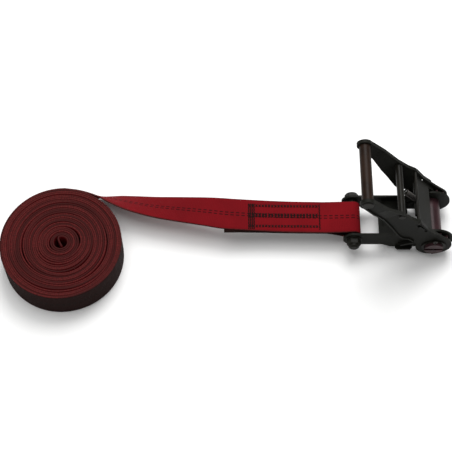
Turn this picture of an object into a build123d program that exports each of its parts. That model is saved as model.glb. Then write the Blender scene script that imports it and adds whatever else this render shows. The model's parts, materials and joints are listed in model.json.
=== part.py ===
"""Endless 50 mm ratchet strap: a hand ratchet with its webbing sewn round the fixed bolt and rolled up.

Working coordinates: X = 0 and Y = 0 at the middle of the spool's axis, Z = 0 on the floor, the roll
towards -X and the far side plate towards +Y. save() moves every piece to the row's origin, which is
at the middle of the bottom of the whole object's box.
Parts of the handle and of the locking pawl are drawn lying along -X from the spool's axis, at a
distance "s" from it and an offset "t" above it, and are then turned about the spool's axis.
"""
from build123d import *
from math import cos, radians, sin
import os

# ---------------------------------------------------------------- driving dimensions (mm)
WEB_WIDTH = 50.0
WEB_THICK = 2.8
AXIS_HEIGHT = 29.0              # spool axis above the floor
HANDLE_LIFT = 51.0              # handle's angle above the base frame
PAWL_TILT = 24.0                # locking pawl's slot slopes down and away from the spool

PLATE = 3.0                     # steel plate of the frame and the handle
BASE_INNER = 29.5               # half the gap between the base plates
BASE_ROUND = 29.0
BASE_TOP = 45.0
BASE_BOTTOM = 15.0
BASE_BELLY = 8.0                # the plates hang lower where the pawl's slot is
FOOT_OUT = 38.0

BOLT_X = -115.0
BOLT_Z = 30.0
BOLT_RADIUS = 6.0
BOLT_END_ROUND = 15.0
SPACER_RADIUS = 8.0
WASHER_THICK = 1.5
BOLT_HEXAGON = 18.0             # across the flats
BOLT_CROWN = 10.2               # radius that the hexagon's corners are turned to

SPOOL_RADIUS = 13.5
SPOOL_SLOT = 5.2
SPOOL_HALF_LENGTH = 48.0
RUNNING = 0.1                   # radial clearance of the spool in the side plates
COTTER_Y = 45.5
WHEEL_INNER = 33.0
WHEEL_THICK = 5.0
WHEEL_TIP = 24.5
WHEEL_ROOT = 18.5
TEETH = 12

DRIVE_LOW = 14.5                # the drive pawl lies between these two offsets from the spool's axis
DRIVE_HIGH = 18.5
DRIVE_NOSE = 14.2               # how near its ears come to the axis in a tooth gap, along the handle
DRIVE_RIDE = 6.0                # drawn back this far it rides clear of the tooth tips, as it does at rest
LOCK_LOW = 10.3                 # the same for the locking pawl, along its own slot
LOCK_HIGH = 14.3
LOCK_NOSE = 18.5
LOCK_RIDE = 4.1
DRIVE_BACK = 62.0               # back edge of each pawl's cross piece, with the pawl in a gap
LOCK_BACK = 42.0
DRIVE_TONGUE_END = 90.0
LOCK_TONGUE_END = 64.5
LUG_FROM = 63.0                 # bent lug of the frame's cross web, which the locking spring pushes on
LUG_TO = 66.0
PAWL_OUT = 38.0
SLIDE_GAP = 0.35
TONGUE_HALF = 1.7               # half the width of a pawl's guide tongue

HANDLE_INNER = 38.8
HANDLE_ROUND = 26.0
SPLAY = 5.0                     # each handle plate steps out by this much towards the grip
SPLAY_FROM = 113.5
SPLAY_TO = 143.0
FLANGE = 2.0
GRIP_S = 175.0
GRIP_T = 2.0
GRIP_RADIUS = 8.0
GRIP_BOLT_RADIUS = 5.0
GRIP_END = 50.0
CROSS_BAR_S = 107.0
CROSS_BAR_T = 14.0
CROSS_BAR_RADIUS = 5.0
CROSS_BAR_NECK = 3.5
CROSS_BAR_HEAD = 4.8
STOP_ROD_S = 77.0
STOP_ROD_T = 22.8
STOP_ROD_RADIUS = 1.8
STOP_ROD_HEAD = 2.6

ROLL_X = -536.0
ROLL_Y = -46.5
ROLL_RADIUS = 87.0
ROLL_CORE = 12.0

SPRING_RADIUS = 3.6
SPRING_WIRE = 0.7

# ---------------------------------------------------------------- worked out from them
BASE_OUTER = BASE_INNER + PLATE
HANDLE_OUTER = HANDLE_INNER + PLATE
WHEEL_OUTER = WHEEL_INNER + WHEEL_THICK
DRIVE_MIDDLE = (DRIVE_LOW + DRIVE_HIGH) / 2
LOCK_MIDDLE = (LOCK_LOW + LOCK_HIGH) / 2
GRIP_INNER = HANDLE_INNER + SPLAY
SPRING_SEAT = CROSS_BAR_S - CROSS_BAR_RADIUS - 0.7
STEEP_ANGLE = 128.0 - HANDLE_LIFT
ORIGIN_X = (ROLL_X - ROLL_RADIUS + BASE_ROUND) / 2
BOLT_DROP = BOLT_Z - AXIS_HEIGHT

# The free span's middle line and its tilt from upright, from the roll to the sewn eye.
SPAN = [
    (-536.0, 42.4, 25.0, 0.0),
    (-512.0, 43.8, 25.0, 11.0),
    (-485.0, 41.4, 25.2, 27.0),
    (-461.0, 35.2, 26.2, 43.0),
    (-436.0, 28.2, 27.6, 54.0),
    (-403.0, 21.0, 30.0, 64.0),
    (-359.0, 13.3, 36.0, 75.0),
    (-325.0, 8.0, 39.8, 84.0),
    (-303.0, 4.5, 41.2, 90.0),
]
# The doubled part of the webbing: its middle line, from the tail's cut end to the bolt's loop.
DOUBLED = [(-303.0, 4.5, 39.6), (-250.0, 2.0, 38.0), (-200.0, 0.5, 36.5), (-157.0, 0.0, 36.0)]


def span_reach():
    """How far the leaning span's lower edge comes across: the furthest that anything reaches."""
    reaches = []
    for _, y, _, tilt in SPAN:
        reaches.append(y + WEB_WIDTH / 2 * sin(radians(tilt)) + WEB_THICK / 2 * cos(radians(tilt)))
    return max(reaches)


ORIGIN_Y = (ROLL_Y - ROLL_RADIUS + span_reach()) / 2


# ---------------------------------------------------------------- helpers
def save(shape, name):
    export_step(Pos(-ORIGIN_X, -ORIGIN_Y, 0) * shape, f"parts/{name}.step")


def slab(outline, y_low, y_high):
    """A flat outline about the spool's axis, made solid between two distances across."""
    plane = Plane((0, y_high, AXIS_HEIGHT), x_dir=(1, 0, 0), z_dir=(0, -1, 0))
    return extrude(plane * outline, y_high - y_low, dir=(0, -1, 0))


def along_y(radius, x, z, y_low, y_high):
    return slab(Pos(x, z) * Circle(radius), y_low, y_high)


def block(s_near, s_far, t_low, t_high, y_low, y_high):
    """A block lying along -X from the spool's axis."""
    outline = Polygon((-s_far, t_low), (-s_near, t_low), (-s_near, t_high), (-s_far, t_high), align=None)
    return slab(outline, y_low, y_high)


def both_sides(make):
    """The same solid on the near and the far side, from a function of its two distances across."""
    far = make()
    return far + mirror(far, Plane.XZ)


def turned(shape, degrees):
    return shape.rotate(Axis((0, 0, AXIS_HEIGHT), (0, 1, 0)), degrees)


def hexagon_along_y(across_flats, x, z, y_low, y_high):
    return slab(Pos(x, z) * RegularPolygon(across_flats / 2, 6, major_radius=False), y_low, y_high)


def compression_spring(s_near, s_far, offset, turns):
    """A coil spring lying along a pawl's guide tongue."""
    length = s_far - s_near - 2 * SPRING_WIRE
    path = Helix(length / turns, length, SPRING_RADIUS)
    profile = Plane(path @ 0, z_dir=path % 0) * Circle(SPRING_WIRE)
    coil = sweep(profile, path=path, is_frenet=True)
    place = Plane((-s_near - SPRING_WIRE, 0, AXIS_HEIGHT + offset), x_dir=(0, 1, 0), z_dir=(-1, 0, 0))
    return place.location * coil


# ---------------------------------------------------------------- webbing
def webbing_roll():
    ring = extrude(Circle(ROLL_RADIUS) - Circle(ROLL_CORE), WEB_WIDTH)
    return Pos(ROLL_X, ROLL_Y, 0) * ring


def webbing_section(x, y, z, tilt, thickness):
    width_way = (0, -sin(radians(tilt)), cos(radians(tilt)))
    return Plane((x, y, z), x_dir=width_way, z_dir=(1, 0, 0)) * Rectangle(WEB_WIDTH, thickness)


def webbing_span():
    sections = [webbing_section(x, y, z, tilt, WEB_THICK) for x, y, z, tilt in SPAN]
    return loft(sections, ruled=True)


def webbing_eye():
    """The doubled webbing and the loop that holds the bolt's spacer tube."""
    sections = [webbing_section(x, y, z, 90, 2 * WEB_THICK) for x, y, z in DOUBLED]
    doubled = loft(sections, ruled=True)
    join_x, _, join_z = DOUBLED[-1]
    join = join_z - AXIS_HEIGHT
    outer = loop_outline(SPACER_RADIUS + 0.2 + WEB_THICK, join_x, join, WEB_THICK)
    inner = loop_outline(SPACER_RADIUS + 0.2, join_x + 6, join, 0.2)
    loop = slab(outer - inner, -WEB_WIDTH / 2, WEB_WIDTH / 2)
    return doubled + loop


def loop_outline(radius, join_x, join_z, half_height):
    """A drop shape: round at the bolt and narrow where the two layers meet."""
    circle = Pos(BOLT_X, BOLT_DROP) * Circle(radius)
    corners = Pos(join_x + 0.5, join_z) * Rectangle(1, 2 * half_height)
    return make_hull(circle.edges() + corners.edges())


# ---------------------------------------------------------------- base frame
def base_plate():
    top = BASE_TOP - AXIS_HEIGHT
    bottom = BASE_BOTTOM - AXIS_HEIGHT
    belly = BASE_BELLY - AXIS_HEIGHT
    bar = Polygon(
        (BOLT_X, bottom), (-72, bottom), (-60, belly), (-20, belly), (0, belly),
        (0, top), (-20, top), (BOLT_X, top), align=None,
    )
    outline = bar + Circle(BASE_ROUND) + Pos(BOLT_X, BOLT_DROP) * Circle(BOLT_END_ROUND)
    outline -= Circle(SPOOL_RADIUS + RUNNING)
    outline -= Pos(BOLT_X, BOLT_DROP) * Circle(BOLT_RADIUS + 0.05)
    plate = slab(outline, BASE_INNER, BASE_OUTER)
    slot_low = LOCK_LOW - SLIDE_GAP
    slot_high = LOCK_HIGH + SLIDE_GAP
    slot = block(LOCK_NOSE - 1.2, 49, slot_low, slot_high, BASE_INNER - 1, BASE_OUTER + 1)
    plate -= turned(slot, -PAWL_TILT)
    foot = block(28, 53, belly, belly + PLATE, BASE_OUTER, FOOT_OUT)
    foot = chamfer(foot.edges().filter_by(Axis.Z).sort_by(Axis.Y)[-2:], 3)
    return plate + foot


def base_web():
    """The cross plate between the side plates, with the bent lug that the spring pushes against."""
    web_low = 30.0 - AXIS_HEIGHT
    web = block(40, 78, web_low, web_low + PLATE, -BASE_INNER, BASE_INNER)
    web = chamfer(web.edges().filter_by(Axis.Z), 7)
    lug = turned(block(LUG_FROM, LUG_TO, 6.5, 34, -11, 11), -PAWL_TILT)
    tongue_hole = turned(block(60, 70, LOCK_LOW - 0.5, LOCK_HIGH + 0.5, -2.5, 2.5), -PAWL_TILT)
    return web + lug - tongue_hole


def strap_bolt():
    shank = along_y(BOLT_RADIUS, BOLT_X, BOLT_DROP, -46.5, BASE_OUTER + WASHER_THICK)
    shank = chamfer(shank.edges().filter_by(GeomType.CIRCLE).sort_by(Axis.Y)[0], 1.2)
    head_from = BASE_OUTER + WASHER_THICK
    head = hexagon_along_y(BOLT_HEXAGON, BOLT_X, BOLT_DROP, head_from, head_from + 7.5)
    crown = along_y(BOLT_CROWN, BOLT_X, BOLT_DROP, head_from - 1, head_from + 7.5)
    crown = chamfer(crown.edges().filter_by(GeomType.CIRCLE).sort_by(Axis.Y)[-1], 1.6)
    return shank + (head & crown)


def strap_bolt_nut():
    inner = -(BASE_OUTER + WASHER_THICK)
    body = hexagon_along_y(BOLT_HEXAGON, BOLT_X, BOLT_DROP, inner - 8, inner)
    crown = along_y(BOLT_CROWN, BOLT_X, BOLT_DROP, inner - 8, inner + 1)
    crown = chamfer(crown.edges().filter_by(GeomType.CIRCLE).sort_by(Axis.Y)[0], 1.6)
    collar = along_y(7.8, BOLT_X, BOLT_DROP, inner - 11, inner - 8)
    collar = fillet(collar.edges().filter_by(GeomType.CIRCLE).sort_by(Axis.Y)[0], 1.2)
    return (body & crown) + collar - along_y(BOLT_RADIUS + 0.05, BOLT_X, BOLT_DROP, -60, 0)


def strap_bolt_washers():
    disc = Pos(BOLT_X, BOLT_DROP) * (Circle(12) - Circle(BOLT_RADIUS + 0.2))
    return both_sides(lambda: slab(disc, BASE_OUTER, BASE_OUTER + WASHER_THICK))


def strap_bolt_spacer():
    ring = Pos(BOLT_X, BOLT_DROP) * (Circle(SPACER_RADIUS) - Circle(BOLT_RADIUS + 0.1))
    return slab(ring, -BASE_INNER, BASE_INNER)


# ---------------------------------------------------------------- locking pawl
def locking_pawl():
    bridge = block(28, LOCK_BACK, LOCK_LOW, LOCK_HIGH, -PAWL_OUT, PAWL_OUT)
    ears = both_sides(lambda: block(LOCK_NOSE, LOCK_BACK, LOCK_LOW, LOCK_HIGH, WHEEL_INNER + 0.3, PAWL_OUT))
    tongue = block(LOCK_BACK - 1, LOCK_TONGUE_END, LOCK_LOW, LOCK_HIGH, -TONGUE_HALF, TONGUE_HALF)
    return turned(Pos(-LOCK_RIDE, 0, 0) * (bridge + ears + tongue), -PAWL_TILT)


def locking_pawl_spring():
    return turned(compression_spring(LOCK_BACK + LOCK_RIDE + 0.1, LUG_FROM - 0.1, LOCK_MIDDLE, 7), -PAWL_TILT)


# ---------------------------------------------------------------- spool
def half_moon(side):
    """One of the two half-round shafts; side is +1 for the upper one and -1 for the lower one."""
    outline = Circle(SPOOL_RADIUS) & Pos(0, side * (SPOOL_SLOT / 2 + 20)) * Rectangle(60, 40)
    shaft = slab(outline, -SPOOL_HALF_LENGTH, SPOOL_HALF_LENGTH)
    for y in (-COTTER_Y, COTTER_Y):
        shaft -= Pos(0, y, AXIS_HEIGHT) * Cylinder(1.6, 60)
    return shaft


def ratchet_wheel():
    points = []
    for tooth in range(TEETH):
        steep = STEEP_ANGLE - tooth * 360 / TEETH
        for radius, back in ((WHEEL_ROOT, 0), (WHEEL_TIP, 2), (WHEEL_TIP, 8), (WHEEL_ROOT, 22)):
            angle = radians(steep - back)
            points.append((radius * cos(angle), radius * sin(angle)))
    points.reverse()
    rim = slab(Polygon(*points, align=None) - Circle(SPOOL_RADIUS), WHEEL_INNER, WHEEL_OUTER)
    bar = slab(Rectangle(2 * SPOOL_RADIUS + 2, SPOOL_SLOT), WHEEL_INNER, WHEEL_OUTER)
    return rim + bar


def spool_end_washers():
    disc = Circle(17.5) - Circle(SPOOL_RADIUS + RUNNING)
    return both_sides(lambda: slab(disc, HANDLE_OUTER + 0.4, HANDLE_OUTER + 1.9))


def cotter_pins():
    pins = []
    for y in (-COTTER_Y, COTTER_Y):
        pin = Cylinder(1.4, 34) + Pos(0, 0, 17.5) * Torus(2.2, 1.0).rotate(Axis.X, 90)
        pins.append(Pos(0, y, AXIS_HEIGHT) * pin)
    return Compound(children=pins)


# ---------------------------------------------------------------- handle
def handle_outline(inset=0.0):
    """The handle plate's outline, or the same outline drawn in by an inset."""
    arm = Polygon(
        (0, 26), (-20, 24), (-52, 22.6), (-77, 25.7), (-92, 21.5), (-112, 19.6), (-143, 15.5), (-178, 12.5),
        (-170, -8), (-138, -8.5), (-116, -11.5), (-87, -16.5), (-61, -22), (-50, -22), (-43, -16),
        (-31, -15), (-15, -18), (0, -18), align=None,
    )
    if inset:
        arm = offset(arm, -inset, kind=Kind.INTERSECTION)
    return arm + Circle(HANDLE_ROUND - inset) + Pos(-GRIP_S, GRIP_T) * Circle(11 - inset)


def splayed_sheet(y_inner, y_outer):
    """A sheet across the handle's plane that steps outwards towards the grip."""
    points = [
        (40, y_outer), (-SPLAY_FROM - 1, y_outer), (-SPLAY_TO - 1, y_outer + SPLAY), (-200, y_outer + SPLAY),
        (-200, y_inner + SPLAY), (-SPLAY_TO, y_inner + SPLAY), (-SPLAY_FROM, y_inner), (40, y_inner),
    ]
    return Pos(0, 0, AXIS_HEIGHT - 60) * extrude(Polygon(*points, align=None), 120, dir=(0, 0, 1))


def handle_plate():
    outline = handle_outline()
    plate = slab(outline, 30, 70) & splayed_sheet(HANDLE_INNER, HANDLE_OUTER)
    rim = outline - handle_outline(2.6)
    rim &= Pos(-113, 0) * Rectangle(160, 100)
    plate += slab(rim, 30, 70) & splayed_sheet(HANDLE_INNER, HANDLE_OUTER + FLANGE)
    plate -= along_y(SPOOL_RADIUS + RUNNING, 0, 0, 30, 60)
    plate -= along_y(GRIP_BOLT_RADIUS + 0.05, -GRIP_S, GRIP_T, 30, 70)
    plate -= along_y(CROSS_BAR_NECK + 0.05, -CROSS_BAR_S, CROSS_BAR_T, 30, 60)
    plate -= along_y(STOP_ROD_RADIUS + 0.05, -STOP_ROD_S, STOP_ROD_T, 30, 60)
    # the rim is cut back round both riveted heads
    plate -= along_y(CROSS_BAR_HEAD + 0.6, -CROSS_BAR_S, CROSS_BAR_T, HANDLE_OUTER, 60)
    plate -= along_y(STOP_ROD_HEAD + 0.6, -STOP_ROD_S, STOP_ROD_T, HANDLE_OUTER, 60)
    plate -= block(45, 69.5, DRIVE_LOW - SLIDE_GAP, DRIVE_HIGH + SLIDE_GAP, 30, 60)
    return turned(plate, HANDLE_LIFT)


def grip_bolt():
    shank = along_y(GRIP_BOLT_RADIUS, -GRIP_S, GRIP_T, -GRIP_END + 2, GRIP_END - 2)
    plate_outer = HANDLE_OUTER + SPLAY
    heads = both_sides(lambda: along_y(8.2, -GRIP_S, GRIP_T, plate_outer, GRIP_END))
    rims = heads.edges().filter_by(GeomType.CIRCLE).sort_by(Axis.Y)
    heads = fillet([rims[0], rims[-1]], 1.5)
    return turned(shank + heads, HANDLE_LIFT)


def grip_sleeve():
    ring = Pos(-GRIP_S, GRIP_T) * (Circle(GRIP_RADIUS) - Circle(GRIP_BOLT_RADIUS + 0.1))
    tube = slab(ring, -GRIP_INNER + 0.3, GRIP_INNER - 0.3)
    return turned(tube, HANDLE_LIFT)


def shouldered_bar(radius, neck_radius, s, t, head_radius):
    """A cross bar with a thinner neck through each plate and a riveted head outside it."""
    bar = along_y(radius, -s, t, -HANDLE_INNER + 0.1, HANDLE_INNER - 0.1)
    bar += along_y(neck_radius, -s, t, -HANDLE_OUTER - 1, HANDLE_OUTER + 1)
    heads = both_sides(lambda: along_y(head_radius, -s, t, HANDLE_OUTER, HANDLE_OUTER + 2.5))
    rims = heads.edges().filter_by(GeomType.CIRCLE).sort_by(Axis.Y)
    heads = fillet([rims[0], rims[-1]], 1.2)
    return turned(bar + heads, HANDLE_LIFT)


# ---------------------------------------------------------------- drive pawl
def drive_pawl():
    bridge = block(28, DRIVE_BACK, DRIVE_LOW, DRIVE_HIGH, -PAWL_OUT, PAWL_OUT)
    ear_inner = WHEEL_INNER + 0.3
    ears = both_sides(lambda: block(DRIVE_NOSE, DRIVE_BACK, DRIVE_LOW, DRIVE_HIGH, ear_inner, PAWL_OUT))
    guides = both_sides(lambda: block(46, 60, DRIVE_LOW, DRIVE_HIGH, PAWL_OUT - 1, HANDLE_OUTER + 1.6))
    tongue = block(DRIVE_BACK - 1, DRIVE_TONGUE_END, DRIVE_LOW, DRIVE_HIGH, -TONGUE_HALF, TONGUE_HALF)
    finger_lips = both_sides(lambda: along_y(3.2, -63, DRIVE_MIDDLE, 8, 26))
    pawl = bridge + ears + guides + tongue + finger_lips
    return turned(Pos(-DRIVE_RIDE, 0, 0) * pawl, HANDLE_LIFT)


def drive_pawl_spring():
    s_near = DRIVE_BACK + DRIVE_RIDE + 0.1
    return turned(compression_spring(s_near, SPRING_SEAT, DRIVE_MIDDLE, 10), HANDLE_LIFT)


# ---------------------------------------------------------------- write every piece
os.makedirs("parts", exist_ok=True)
near = Plane.XZ

save(webbing_roll(), "webbing_roll")
save(webbing_span(), "webbing_span")
save(webbing_eye(), "webbing_eye")

far_base_plate = base_plate()
save(far_base_plate, "base_plate_far")
save(mirror(far_base_plate, near), "base_plate_near")
save(base_web(), "base_web")
save(strap_bolt(), "strap_bolt")
save(strap_bolt_nut(), "strap_bolt_nut")
save(strap_bolt_washers(), "strap_bolt_washers")
save(strap_bolt_spacer(), "strap_bolt_spacer")
save(locking_pawl(), "locking_pawl")
save(locking_pawl_spring(), "locking_pawl_spring")

save(half_moon(1), "half_moon_shaft_upper")
save(half_moon(-1), "half_moon_shaft_lower")
far_wheel = ratchet_wheel()
save(far_wheel, "ratchet_wheel_far")
save(mirror(far_wheel, near), "ratchet_wheel_near")
save(spool_end_washers(), "spool_end_washers")
save(cotter_pins(), "cotter_pins")

far_handle_plate = handle_plate()
save(far_handle_plate, "handle_plate_far")
save(mirror(far_handle_plate, near), "handle_plate_near")
save(grip_bolt(), "grip_bolt")
save(grip_sleeve(), "grip_sleeve")
cross_bar = shouldered_bar(CROSS_BAR_RADIUS, CROSS_BAR_NECK, CROSS_BAR_S, CROSS_BAR_T, CROSS_BAR_HEAD)
stop_rod = shouldered_bar(STOP_ROD_RADIUS, STOP_ROD_RADIUS, STOP_ROD_S, STOP_ROD_T, STOP_ROD_HEAD)
save(cross_bar, "handle_cross_bar")
save(stop_rod, "handle_stop_rod")
save(drive_pawl(), "drive_pawl")
save(drive_pawl_spring(), "drive_pawl_spring")
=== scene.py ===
"""Looks for the endless ratchet strap: one continuous length of webbing, its sewing, the springs and
the steel's finish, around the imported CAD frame. Lengths are in metres, in the row's frame."""

import json
import math
import random

import bpy
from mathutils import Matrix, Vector


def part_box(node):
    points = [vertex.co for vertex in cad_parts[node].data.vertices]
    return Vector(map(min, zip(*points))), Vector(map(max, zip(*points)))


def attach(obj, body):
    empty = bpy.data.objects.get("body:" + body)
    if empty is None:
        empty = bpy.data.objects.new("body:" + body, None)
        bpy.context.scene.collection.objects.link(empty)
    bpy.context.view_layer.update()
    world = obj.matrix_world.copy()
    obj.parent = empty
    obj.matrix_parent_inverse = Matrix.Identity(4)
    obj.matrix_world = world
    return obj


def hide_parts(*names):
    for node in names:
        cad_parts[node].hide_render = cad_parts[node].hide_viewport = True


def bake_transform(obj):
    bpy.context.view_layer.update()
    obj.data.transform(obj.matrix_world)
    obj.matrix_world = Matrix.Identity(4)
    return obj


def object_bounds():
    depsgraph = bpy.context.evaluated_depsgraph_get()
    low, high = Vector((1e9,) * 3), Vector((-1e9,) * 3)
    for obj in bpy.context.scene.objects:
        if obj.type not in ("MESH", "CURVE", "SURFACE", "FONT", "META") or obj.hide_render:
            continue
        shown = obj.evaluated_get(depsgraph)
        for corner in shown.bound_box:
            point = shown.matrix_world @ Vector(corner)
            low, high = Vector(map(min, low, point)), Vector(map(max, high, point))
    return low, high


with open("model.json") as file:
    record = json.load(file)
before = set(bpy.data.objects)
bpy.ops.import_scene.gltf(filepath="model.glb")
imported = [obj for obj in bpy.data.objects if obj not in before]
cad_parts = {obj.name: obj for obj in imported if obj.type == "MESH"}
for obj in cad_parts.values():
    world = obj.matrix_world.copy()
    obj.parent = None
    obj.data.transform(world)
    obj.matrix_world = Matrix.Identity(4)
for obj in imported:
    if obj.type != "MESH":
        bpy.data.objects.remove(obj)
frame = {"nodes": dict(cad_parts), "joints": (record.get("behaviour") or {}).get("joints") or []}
cad_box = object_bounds()
random.seed(7)

MM = 0.001


def centre_of(node):
    low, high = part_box(node)
    return (Vector(low) + Vector(high)) / 2


AXLE = centre_of("ratchet_wheel_near")
AXLE.y = (AXLE.y + centre_of("ratchet_wheel_far").y) / 2
BOLT = centre_of("strap_bolt_spacer")
ROLL = centre_of("webbing_roll")

# ---------------------------------------------------------------- webbing sizes
WEB_WIDTH = 50 * MM
WEB_THICK = 2.4 * MM
TURNS = 28
CORE_RADIUS = 9.5 * MM
STEPS_PER_TURN = 84
LOOP_RADIUS = 9.7 * MM           # the webbing's middle, round the bolt's spacer tube
UV_NAME = "strap"
TAIL_SHADE = 2.0                  # above 1 the painted shade covers the selvedge too

# The free webbing's middle line from the roll to the bolt, in mm from the spool's axis and above the
# floor, with its tilt from upright in degrees.
SPAN = [
    (-536, 41.0, 25.0, 0), (-512, 42.2, 25.0, 11), (-485, 40.4, 25.2, 27), (-461, 34.6, 26.2, 43),
    (-436, 28.0, 27.6, 54), (-403, 21.0, 30.0, 64), (-359, 13.3, 36.0, 75), (-325, 8.0, 39.8, 84),
    (-303, 4.5, 41.2, 90), (-278, 3.0, 40.6, 90), (-250, 2.0, 39.2, 90), (-225, 1.2, 38.2, 90),
    (-200, 0.5, 37.8, 90), (-175, 0.2, 37.6, 90), (-157, 0.0, 37.4, 90), (-140, 0.0, 38.2, 90),
]
# The tail under it, from the bolt back to its cut end.
TAIL = [
    (-136, 0.0, 28.6, 90), (-148, 0.0, 33.0, 90), (-159, 0.0, 34.7, 90), (-180, 0.0, 34.9, 90),
    (-200, 0.2, 35.1, 90), (-225, 0.5, 35.5, 90), (-250, 0.6, 36.4, 90), (-278, 0.4, 37.6, 90),
    (-303, 0.2, 38.0, 90),
]
# Where loose turns leave a gap: turn, direction in degrees, and how far they stand off in mm.
GAPS = [
    (2, 200, 1.8), (5, 20, 2.6), (8, 250, 2.2), (12, 300, 2.8), (16, 200, 2.2), (19, 330, 2.6), (23, 265, 2.0),
]


# ---------------------------------------------------------------- mesh helpers
def smooth_step(value, low, high):
    share = min(max((value - low) / (high - low), 0.0), 1.0)
    return share * share * (3 - 2 * share)


def curve_through(points, step):
    """Catmull-Rom through points of any number of values, sampled about every step."""
    out = []
    for i in range(len(points) - 1):
        before = points[max(i - 1, 0)]
        start, end = points[i], points[i + 1]
        after = points[min(i + 2, len(points) - 1)]
        span = math.dist(start[:3], end[:3])
        count = max(2, round(span / step))
        for k in range(count):
            t = k / count
            out.append(tuple(
                0.5 * (2 * b + (c - a) * t + (2 * a - 5 * b + 4 * c - d) * t ** 2
                       + (3 * b - a - 3 * c + d) * t ** 3)
                for a, b, c, d in zip(before, start, end, after)
            ))
    out.append(tuple(points[-1]))
    return out


def new_object(name, verts, faces, smooth=True):
    mesh = bpy.data.meshes.new(name)
    mesh.from_pydata([tuple(v) for v in verts], [], faces)
    mesh.validate()
    mesh.update()
    for polygon in mesh.polygons:
        polygon.use_smooth = smooth
    piece = bpy.data.objects.new(name, mesh)
    bpy.context.collection.objects.link(piece)
    return piece


def ring_faces(count, size, first=0):
    """Quads between rings of size points, with a cap at each end."""
    faces = []
    for i in range(count - 1):
        for j in range(size):
            a = first + i * size + j
            b = first + i * size + (j + 1) % size
            faces.append((a, b, b + size, a + size))
    faces.append(tuple(first + j for j in reversed(range(size))))
    faces.append(tuple(first + (count - 1) * size + j for j in range(size)))
    return faces


def tube(points, radius, sides=10):
    """Points and faces of a round wire along a line."""
    verts = []
    side = None
    for i, point in enumerate(points):
        ahead = points[min(i + 1, len(points) - 1)] - points[max(i - 1, 0)]
        ahead.normalize()
        if side is None:
            side = ahead.orthogonal().normalized()
        side = (side - ahead * side.dot(ahead)).normalized()
        other = ahead.cross(side)
        for j in range(sides):
            angle = 2 * math.pi * j / sides
            verts.append(point + (side * math.cos(angle) + other * math.sin(angle)) * radius)
    return verts, ring_faces(len(points), sides)


# ---------------------------------------------------------------- webbing
def roll_radius(turn, direction):
    """The middle of the webbing from the roll's middle, with the gaps that loose turns leave."""
    end_radius = AXLE.y + SPAN[0][1] * MM - ROLL.y
    pitch = (end_radius - CORE_RADIUS) / TURNS
    radius = CORE_RADIUS + pitch * turn
    for gap_turn, gap_direction, depth in GAPS:
        off = math.cos(direction - math.radians(gap_direction))
        passed = turn - gap_turn
        if off > 0 and passed > 0:
            fade = smooth_step(TURNS - turn, 0, 3) * math.exp(-max(passed - 1, 0) / 7)
            radius += depth * MM * off ** 3 * smooth_step(passed, 0, 1) * fade
    return radius


def roll_lift(turn):
    """Turns don't lie quite level: some stand a millimetre or two proud of their neighbours."""
    wander = 1.15 + 0.65 * math.sin(2.3 * turn) + 0.45 * math.sin(5.1 * turn + 1)
    return wander * MM * smooth_step(TURNS - turn, 0, 1)


def roll_path():
    """The flat coil, from the end gripped across its core to the last turn's way out."""
    path = []
    upright = Vector((0, 0, 1))
    total = TURNS * STEPS_PER_TURN
    for i in range(total + 1):
        turn = i / STEPS_PER_TURN
        direction = math.pi / 2 + 2 * math.pi * (TURNS - turn)
        radius = roll_radius(turn, direction)
        middle = Vector((ROLL.x, ROLL.y, WEB_WIDTH / 2 + roll_lift(turn)))
        middle += Vector((math.cos(direction), math.sin(direction), 0)) * radius
        # Painted shade: the outermost turn and a half is painted dark for the shade on the roll's side wall,
        # which faces away from the lights.
        painted_shade = smooth_step(turn, TURNS - 1.6, TURNS - 1.0)
        path.append((middle, upright, painted_shade))
    start = path[0][0]
    ahead = (path[1][0] - start).normalized()
    hub = Vector((ROLL.x, ROLL.y, start.z))
    out = (start - hub).normalized()
    far = hub - out * (CORE_RADIUS - 2.2 * MM) + ahead * 2 * MM
    handles = [far, hub - out * 2 * MM - ahead * 1 * MM, start - ahead * 9 * MM, start]
    core = []
    for k in range(18):
        t = k / 18
        weights = ((1 - t) ** 3, 3 * t * (1 - t) ** 2, 3 * t * t * (1 - t), t ** 3)
        point = sum((h * w for h, w in zip(handles, weights)), Vector())
        core.append((point, upright, 0.0))
    return core + path[:-1]


def laid_path(points, shade_from, shade_to):
    """A stretch of the free webbing from its given points, painted dark as shade up to shade_from and unshaded
    from shade_to.
    """
    path = []
    for x, y, z, tilt in curve_through(points, 4.0):
        angle = math.radians(min(tilt, 90))
        width_way = Vector((0, -math.sin(angle), math.cos(angle)))
        middle = Vector((AXLE.x + x * MM, AXLE.y + y * MM, z * MM))
        painted_shade = 1 - smooth_step(x, shade_from, shade_to)
        path.append((middle, width_way, painted_shade))
    return path


def bolt_loop():
    """Over, round and under the bolt's spacer tube."""
    path = []
    for k in range(25):
        angle = math.radians(108 - 216 * k / 24)
        middle = BOLT + Vector((math.cos(angle), 0, math.sin(angle))) * LOOP_RADIUS
        path.append((middle, Vector((0, -1, 0)), 0.0))
    return path


def webbing_section():
    """The strip's outline across its width: flat faces and rounded selvedges."""
    half, edge, flat = WEB_WIDTH / 2, WEB_THICK / 2, 12
    reach = half - 0.7 * MM
    upper = [(-reach + 2 * reach * k / flat, edge) for k in range(flat + 1)]
    lower = [(w, -h) for w, h in reversed(upper)]
    return upper + [(half - 0.15 * MM, edge * 0.6), (half, 0), (half - 0.15 * MM, -edge * 0.6)] + lower + [
        (-half + 0.15 * MM, -edge * 0.6), (-half, 0), (-half + 0.15 * MM, edge * 0.6)]


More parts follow.
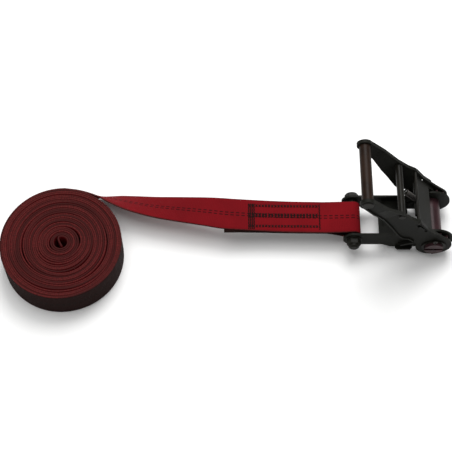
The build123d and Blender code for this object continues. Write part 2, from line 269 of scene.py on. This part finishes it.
def build_webbing():
    # The span's first stretch off the roll carries the same painted shade, fading out between -540 and -486
    # mm.
    path = roll_path() + laid_path(SPAN, -540, -486)
    # Painted shade: the tail under the top layer is painted dark all over, selvedges too, for the shade it
    # lies in.
    tail = [(middle, width_way, TAIL_SHADE) for middle, width_way, _ in laid_path(TAIL, 0, 1)]
    path += bolt_loop() + tail
    section = webbing_section()
    verts, shade_values, along = [], [], []
    length = 0.0
    for i, (middle, width_way, painted_shade) in enumerate(path):
        if i:
            length += (middle - path[i - 1][0]).length
        ahead = path[min(i + 1, len(path) - 1)][0] - path[max(i - 1, 0)][0]
        ahead.normalize()
        across = (width_way - ahead * width_way.dot(ahead)).normalized()
        out = ahead.cross(across)
        for w, h in section:
            verts.append(middle + across * w + out * h)
            shade_values.append(painted_shade)
        along.append(length)
    size = len(section)
    piece = new_object("webbing", verts, ring_faces(len(path), size))
    mesh = piece.data
    layer = mesh.uv_layers.new(name=UV_NAME)
    for loop in mesh.loops:
        ring, place = divmod(loop.vertex_index, size)
        layer.data[loop.index].uv = (along[ring], section[place][0] + WEB_WIDTH / 2)
    shade_layer = mesh.attributes.new("painted_shade", "FLOAT", "POINT")
    shade_layer.data.foreach_set("value", shade_values)
    return piece, length


# ---------------------------------------------------------------- sewing
STITCH_LONG = 5.2 * MM
STITCH_ROUND = 0.9 * MM
SEAM_START = -267
SEAM_END = -164
SEAM_ROWS = (-15.5, 0.4, 3.4, 17.5)
SEAM_BARS = (SEAM_START, SEAM_START + 2.6, SEAM_START + 5.2, SEAM_START + 7.8, SEAM_END)


def surface_height(x, points):
    """The webbing's middle height in mm at a distance from the spool's axis, between the listed points."""
    for start, end in zip(points, points[1:]):
        low, high = sorted((start, end))
        if low[0] <= x <= high[0]:
            share = (x - low[0]) / (high[0] - low[0])
            return low[2] + (high[2] - low[2]) * share
    raise ValueError(x)


def add_stitch(verts, faces, middle, ahead, length):
    """One thread lying on the webbing, thick in its middle and dipping in at both ends."""
    up = Vector((0, 0, 1))
    side = ahead.cross(up).normalized()
    first = len(verts)
    rings, sides = 7, 8
    for i in range(rings):
        t = i / (rings - 1)
        bow = math.sin(math.pi * t)
        thick = STITCH_ROUND * (0.45 + 0.55 * bow)
        spot = middle + ahead * (t - 0.5) * length + up * (0.35 * bow - 0.25) * STITCH_ROUND
        for j in range(sides):
            angle = 2 * math.pi * j / sides
            verts.append(spot + side * math.cos(angle) * thick + up * math.sin(angle) * thick)
    faces.extend(ring_faces(rings, sides, first))


def build_sewing():
    verts, faces = [], []

    def sew(x, y, slant, length):
        for points, face in ((SPAN, 1), (TAIL, -1)):
            z = surface_height(x, points) * MM + face * (WEB_THICK / 2 + 0.1 * MM)
            middle = Vector((AXLE.x + x * MM, AXLE.y + y * MM, z))
            ahead = Vector((math.cos(slant), math.sin(slant), 0))
            add_stitch(verts, faces, middle, ahead, length)

    pitch = 4.6
    for y in SEAM_ROWS:
        count = int((SEAM_END - SEAM_START) / pitch)
        for k in range(count):
            x = SEAM_START + (k + 0.5) * pitch
            for slant in (0.95, -0.95):
                sew(x, y + random.uniform(-0.3, 0.3), slant + random.uniform(-0.1, 0.1), STITCH_LONG)
    for x in SEAM_BARS:
        for k in range(17):
            y = -19.5 + 39 * k / 16
            sew(x, y, math.pi / 2 + (0.45 if k % 2 else -0.45), 3.4 * MM)
    return new_object("eye_stitching", verts, faces)


# ---------------------------------------------------------------- springs
def build_spring(name, fixed_end, free_end, turns):
    """A coil spring between two points, with closed end turns."""
    wire, radius = 0.65 * MM, 3.6 * MM
    along = free_end - fixed_end
    length = along.length
    along.normalize()
    side = along.orthogonal().normalized()
    other = along.cross(side)
    points = []
    count = turns * 20
    for i in range(count + 1):
        t = i / count
        share = 0.02 + 0.96 * smooth_step(t, 0.02, 0.98) * 0.35 + 0.96 * t * 0.65
        rise = wire + (length - 2 * wire) * share
        angle = 2 * math.pi * turns * t
        points.append(fixed_end + along * min(rise, length - wire)
                      + (side * math.cos(angle) + other * math.sin(angle)) * radius)
    verts, faces = tube(points, wire, 8)
    return new_object(name, verts, faces)


def joint_axis(name):
    for joint in frame["joints"]:
        if joint["name"] == name:
            return Vector(joint["axis"]).normalized()
    raise ValueError(name)


def spring_between(name, node, joint, turns):
    """The spring along a pawl's slide, from its seat to the pawl, in place of the hidden CAD spring."""
    way = joint_axis(joint)
    middle = centre_of(node)
    low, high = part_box(node)
    coil = 4.3 * MM
    reach = (high[0] - low[0] - 2 * coil * abs(way.z)) / abs(way.x)
    fixed, free = middle + way * reach / 2, middle - way * reach / 2
    piece = build_spring(name, fixed, free, turns)
    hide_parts(node)
    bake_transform(piece)
    return piece


# ---------------------------------------------------------------- materials
def start_material(name):
    material = bpy.data.materials.new(name)
    material.use_nodes = True
    tree = material.node_tree
    return material, tree, tree.nodes["Principled BSDF"]


def add(tree, kind, **values):
    node = tree.nodes.new(kind)
    for key, value in values.items():
        setattr(node, key, value)
    return node


def maths(tree, operation, a, b=None, c=None):
    node = add(tree, "ShaderNodeMath", operation=operation)
    for socket, value in zip(node.inputs, (a, b, c)):
        if value is None:
            continue
        if isinstance(value, (int, float)):
            socket.default_value = value
        else:
            tree.links.new(value, socket)
    return node.outputs[0]


def between(tree, value, low, high):
    """0 below low, 1 above high, and smooth between them."""
    node = add(tree, "ShaderNodeMapRange", interpolation_type="SMOOTHSTEP")
    tree.links.new(value, node.inputs["Value"])
    node.inputs["From Min"].default_value = low
    node.inputs["From Max"].default_value = high
    return node.outputs["Result"]


def mix_colour(tree, share, a, b):
    node = add(tree, "ShaderNodeMix", data_type="RGBA")
    sockets = {s.identifier: s for s in node.inputs}
    for key, value in (("Factor_Float", share), ("A_Color", a), ("B_Color", b)):
        if isinstance(value, (int, float)):
            sockets[key].default_value = value
        elif isinstance(value, tuple):
            sockets[key].default_value = (*value, 1.0)
        else:
            tree.links.new(value, sockets[key])
    return {s.identifier: s for s in node.outputs}["Result_Color"]


def noise(tree, vector, scale, detail=3.0, roughness=0.55):
    node = add(tree, "ShaderNodeTexNoise")
    node.inputs["Scale"].default_value = scale
    node.inputs["Detail"].default_value = detail
    node.inputs["Roughness"].default_value = roughness
    tree.links.new(vector, node.inputs["Vector"])
    return node.outputs["Fac"]


def bump(tree, bsdf, height, distance, strength):
    node = add(tree, "ShaderNodeBump")
    node.inputs["Distance"].default_value = distance
    node.inputs["Strength"].default_value = strength
    tree.links.new(height, node.inputs["Height"])
    tree.links.new(node.outputs["Normal"], bsdf.inputs["Normal"])


RED = (0.176, 0.0050, 0.0085)
RED_DEEP = (0.108, 0.0038, 0.0060)
EDGE_BROWN = (0.108, 0.0160, 0.0155)
EDGE_DARK = (0.040, 0.0095, 0.0090)
# Near-black colour of the painted shade on the webbing's shaded stretches.
PAINTED_SHADE_COLOUR = (0.0075, 0.0062, 0.0052)
TRACER = (0.018, 0.003, 0.004)


def webbing_material():
    """Red polyester: ribs along the strip, picks across it, a dashed tracer pair and worn selvedges, with
    painted shade on the shaded stretches.
    """
    material, tree, bsdf = start_material("red_webbing")
    uv = add(tree, "ShaderNodeUVMap", uv_map=UV_NAME)
    parts = add(tree, "ShaderNodeSeparateXYZ")
    tree.links.new(uv.outputs["UV"], parts.inputs[0])
    along, across = parts.outputs["X"], parts.outputs["Y"]
    ribs = maths(tree, "SINE", maths(tree, "MULTIPLY", across, 2 * math.pi / (1.7 * MM)))
    lean = maths(tree, "MULTIPLY_ADD", ribs, 1.3, maths(tree, "MULTIPLY", along, 2 * math.pi / (2.4 * MM)))
    picks = maths(tree, "SINE", lean)
    weave = maths(tree, "MULTIPLY_ADD", picks, 0.45, maths(tree, "MULTIPLY", ribs, 0.55))
    blotches = noise(tree, uv.outputs["UV"], 24.0, 4.0)
    fibres = noise(tree, uv.outputs["UV"], 900.0, 2.0)
    turns = noise(tree, uv.outputs["UV"], 5.0, 2.0)
    tone = maths(tree, "MULTIPLY_ADD", weave, 0.16, maths(tree, "MULTIPLY", blotches, 0.45))
    tone = maths(tree, "MULTIPLY_ADD", turns, 0.45, tone)
    colour = mix_colour(tree, between(tree, tone, 0.25, 0.75), RED_DEEP, RED)
    off_middle = maths(tree, "ABSOLUTE", maths(tree, "SUBTRACT", across, WEB_WIDTH / 2))
    line = maths(tree, "ABSOLUTE", maths(tree, "SUBTRACT", off_middle, 2.0 * MM))
    on_line = maths(tree, "SUBTRACT", 1.0, between(tree, line, 0.55 * MM, 0.95 * MM))
    dash = maths(tree, "SINE", maths(tree, "MULTIPLY", along, 2 * math.pi / (8 * MM)))
    dashed = maths(tree, "MULTIPLY", on_line, between(tree, dash, -0.55, -0.2))
    colour = mix_colour(tree, dashed, colour, TRACER)
    selvedge = between(tree, off_middle, 23.9 * MM, 24.5 * MM)
    worn = mix_colour(tree, between(tree, fibres, 0.35, 0.65), EDGE_BROWN, EDGE_DARK)
    worn = mix_colour(tree, between(tree, turns, 0.38, 0.56), EDGE_DARK, worn)
    colour = mix_colour(tree, selvedge, colour, worn)
    # Painted shade: mixed in by the painted_shade attribute. The selvedges stay unshaded except where the
    # value is above 1.5, on the tail.
    painted_shade = add(tree, "ShaderNodeAttribute", attribute_name="painted_shade")
    shade_share = maths(tree, "MULTIPLY", maths(tree, "MINIMUM", painted_shade.outputs["Fac"], 1.0), 0.94)
    edge_kept_unshaded = maths(tree, "MULTIPLY", selvedge, maths(tree, "LESS_THAN", painted_shade.outputs["Fac"], 1.5))
    shade_share = maths(tree, "MULTIPLY", shade_share, maths(tree, "SUBTRACT", 1.0, edge_kept_unshaded))
    colour = mix_colour(tree, shade_share, colour, PAINTED_SHADE_COLOUR)
    tree.links.new(colour, bsdf.inputs["Base Color"])
    rough = maths(tree, "MULTIPLY_ADD", fibres, 0.2, 0.68)
    tree.links.new(rough, bsdf.inputs["Roughness"])
    bsdf.inputs["Sheen Weight"].default_value = 0.008
    bsdf.inputs["Sheen Roughness"].default_value = 0.5
    bsdf.inputs["Specular IOR Level"].default_value = 0.03
    bump(tree, bsdf, maths(tree, "MULTIPLY_ADD", fibres, 0.3, weave), 0.28 * MM, 0.55)
    return material


def thread_material():
    """Dark bonded thread, twisted round its length."""
    material, tree, bsdf = start_material("dark_thread")
    place = add(tree, "ShaderNodeTexCoord").outputs["Object"]
    twist = noise(tree, place, 2200.0, 2.0)
    colour = mix_colour(tree, between(tree, twist, 0.3, 0.7), (0.006, 0.0030, 0.0028), (0.022, 0.0062, 0.0058))
    tree.links.new(colour, bsdf.inputs["Base Color"])
    bsdf.inputs["Roughness"].default_value = 0.7
    bsdf.inputs["Specular IOR Level"].default_value = 0.06
    bump(tree, bsdf, twist, 0.15 * MM, 0.5)
    return material


def steel_material(name, dark, light, roughness, grain, metallic=0.0, stretch=(1, 1, 1), specular=0.06):
    """Black coated steel: a mottled coat with scuffs and a fine orange-peel surface."""
    material, tree, bsdf = start_material(name)
    place = add(tree, "ShaderNodeTexCoord").outputs["Object"]
    mapping = add(tree, "ShaderNodeMapping")
    mapping.inputs["Scale"].default_value = stretch
    tree.links.new(place, mapping.inputs["Vector"])
    broad = noise(tree, place, 38.0, 5.0)
    fine = noise(tree, mapping.outputs["Vector"], grain, 4.0, 0.65)
    scuffs = between(tree, noise(tree, mapping.outputs["Vector"], grain * 0.28, 6.0, 0.72), 0.60, 0.72)
    colour = mix_colour(tree, between(tree, broad, 0.3, 0.7), dark, light)
    scuffed = tuple(min(value * 2.4, 1.0) for value in light)
    colour = mix_colour(tree, maths(tree, "MULTIPLY", scuffs, 0.55), colour, scuffed)
    tree.links.new(colour, bsdf.inputs["Base Color"])
    fine_rough = maths(tree, "MULTIPLY_ADD", fine, 0.12, roughness - 0.17)
    rough = maths(tree, "MULTIPLY_ADD", broad, 0.22, fine_rough)
    tree.links.new(rough, bsdf.inputs["Roughness"])
    bsdf.inputs["Metallic"].default_value = metallic
    bsdf.inputs["Specular IOR Level"].default_value = specular
    bump(tree, bsdf, maths(tree, "MULTIPLY_ADD", scuffs, -0.4, fine), 0.12 * MM, 0.35)
    return material


def dress(material, *names):
    for name in names:
        piece = frame["nodes"][name]
        for slot in piece.material_slots:
            slot.material = material
        if not piece.material_slots:
            piece.data.materials.append(material)


# ---------------------------------------------------------------- make the pieces
webbing, webbing_length = build_webbing()
webbing.data.materials.append(webbing_material())
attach(webbing, "root")
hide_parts("webbing_roll", "webbing_span", "webbing_eye")

sewing = build_sewing()
sewing.data.materials.append(thread_material())
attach(sewing, "root")

spring_steel = steel_material("spring_wire", (0.030, 0.028, 0.026), (0.075, 0.070, 0.066), 0.38, 1400.0, 0.9)
for spring in (
    spring_between("locking_spring", "locking_pawl_spring", "locking_pawl_slide", 7),
    spring_between("drive_spring", "drive_pawl_spring", "drive_pawl_slide", 10),
):
    spring.data.materials.append(spring_steel)

dress(
    steel_material("frame_plate", (0.0045, 0.0045, 0.0034), (0.0095, 0.0098, 0.0076), 0.50, 900.0),
    "base_plate_far", "base_plate_near", "base_web", "handle_plate_far", "handle_plate_near",
)
dress(
    steel_material("pawl_plate", (0.0045, 0.0045, 0.0035), (0.0095, 0.0095, 0.0076), 0.46, 1100.0,
                   stretch=(1, 0.2, 1)),
    "locking_pawl", "drive_pawl",
)
dress(
    steel_material("spool_steel", (0.016, 0.007, 0.008), (0.040, 0.016, 0.019), 0.36, 1000.0,
                   metallic=0.1, stretch=(1, 0.15, 1), specular=0.16),
    "half_moon_shaft_upper", "half_moon_shaft_lower", "ratchet_wheel_far", "ratchet_wheel_near",
)
dress(
    steel_material("grip_coat", (0.0085, 0.0042, 0.0024), (0.0185, 0.0092, 0.0052), 0.42, 700.0,
                   stretch=(1, 0.3, 1), specular=0.09),
    "grip_sleeve",
)
dress(
    steel_material("bolt_steel", (0.0050, 0.0046, 0.0034), (0.0100, 0.0090, 0.0066), 0.40, 1200.0,
                   specular=0.09),
    "strap_bolt", "strap_bolt_nut", "strap_bolt_washers", "strap_bolt_spacer", "grip_bolt",
    "handle_cross_bar", "handle_stop_rod", "spool_end_washers",
)
dress(spring_steel, "cotter_pins")


# ---------------------------------------------------------------- floor, lights and camera
def plain_floor():
    low, high = cad_box
    size = 6.0
    middle_x, middle_y = (low[0] + high[0]) / 2, (low[1] + high[1]) / 2
    corners = [(-1, -1), (1, -1), (1, 1), (-1, 1)]
    verts = [(middle_x + size * a, middle_y + size * b, low[2] - 0.1 * MM) for a, b in corners]
    floor = new_object("floor", verts, [(0, 1, 2, 3)], smooth=False)
    material, _, bsdf = start_material("pale_floor")
    bsdf.inputs["Base Color"].default_value = (0.86, 0.86, 0.855, 1)
    bsdf.inputs["Roughness"].default_value = 0.9
    bsdf.inputs["Specular IOR Level"].default_value = 0.1
    floor.data.materials.append(material)


def area_light(name, place, aim, size, power):
    data = bpy.data.lights.new(name, "AREA")
    data.shape = "DISK"
    data.size = size
    data.energy = power
    light = bpy.data.objects.new(name, data)
    light.location = place
    light.rotation_euler = (Vector(aim) - Vector(place)).to_track_quat("-Z", "Y").to_euler()
    bpy.context.collection.objects.link(light)


def soft_light():
    world = bpy.data.worlds.new("studio")
    world.use_nodes = True
    background = world.node_tree.nodes["Background"]
    background.inputs["Color"].default_value = (1, 1, 1, 1)
    background.inputs["Strength"].default_value = 0.48
    bpy.context.scene.world = world
    area_light("key", (0.3, 1.1, 1.9), (0, 0.05, 0), 1.4, 36)
    area_light("top", (-0.3, 0.2, 2.2), (0, 0, 0), 1.6, 22)


def photo_camera():
    """Looks along +Y from a high angle, with the object across the whole picture."""
    elevation = math.radians(63)
    distance = 1.85
    aim = Vector((AXLE.x - 0.300, AXLE.y - 0.0052, 0.020))
    data = bpy.data.cameras.new("camera")
    data.sensor_width = 36
    data.lens = 100.5
    camera = bpy.data.objects.new("camera", data)
    camera.location = aim + Vector((0, -math.cos(elevation), math.sin(elevation))) * distance
    camera.rotation_euler = (math.pi / 2 - elevation, 0, 0)
    bpy.context.collection.objects.link(camera)
    bpy.context.scene.camera = camera


plain_floor()
soft_light()
photo_camera()
bpy.context.scene.view_settings.view_transform = "Standard"
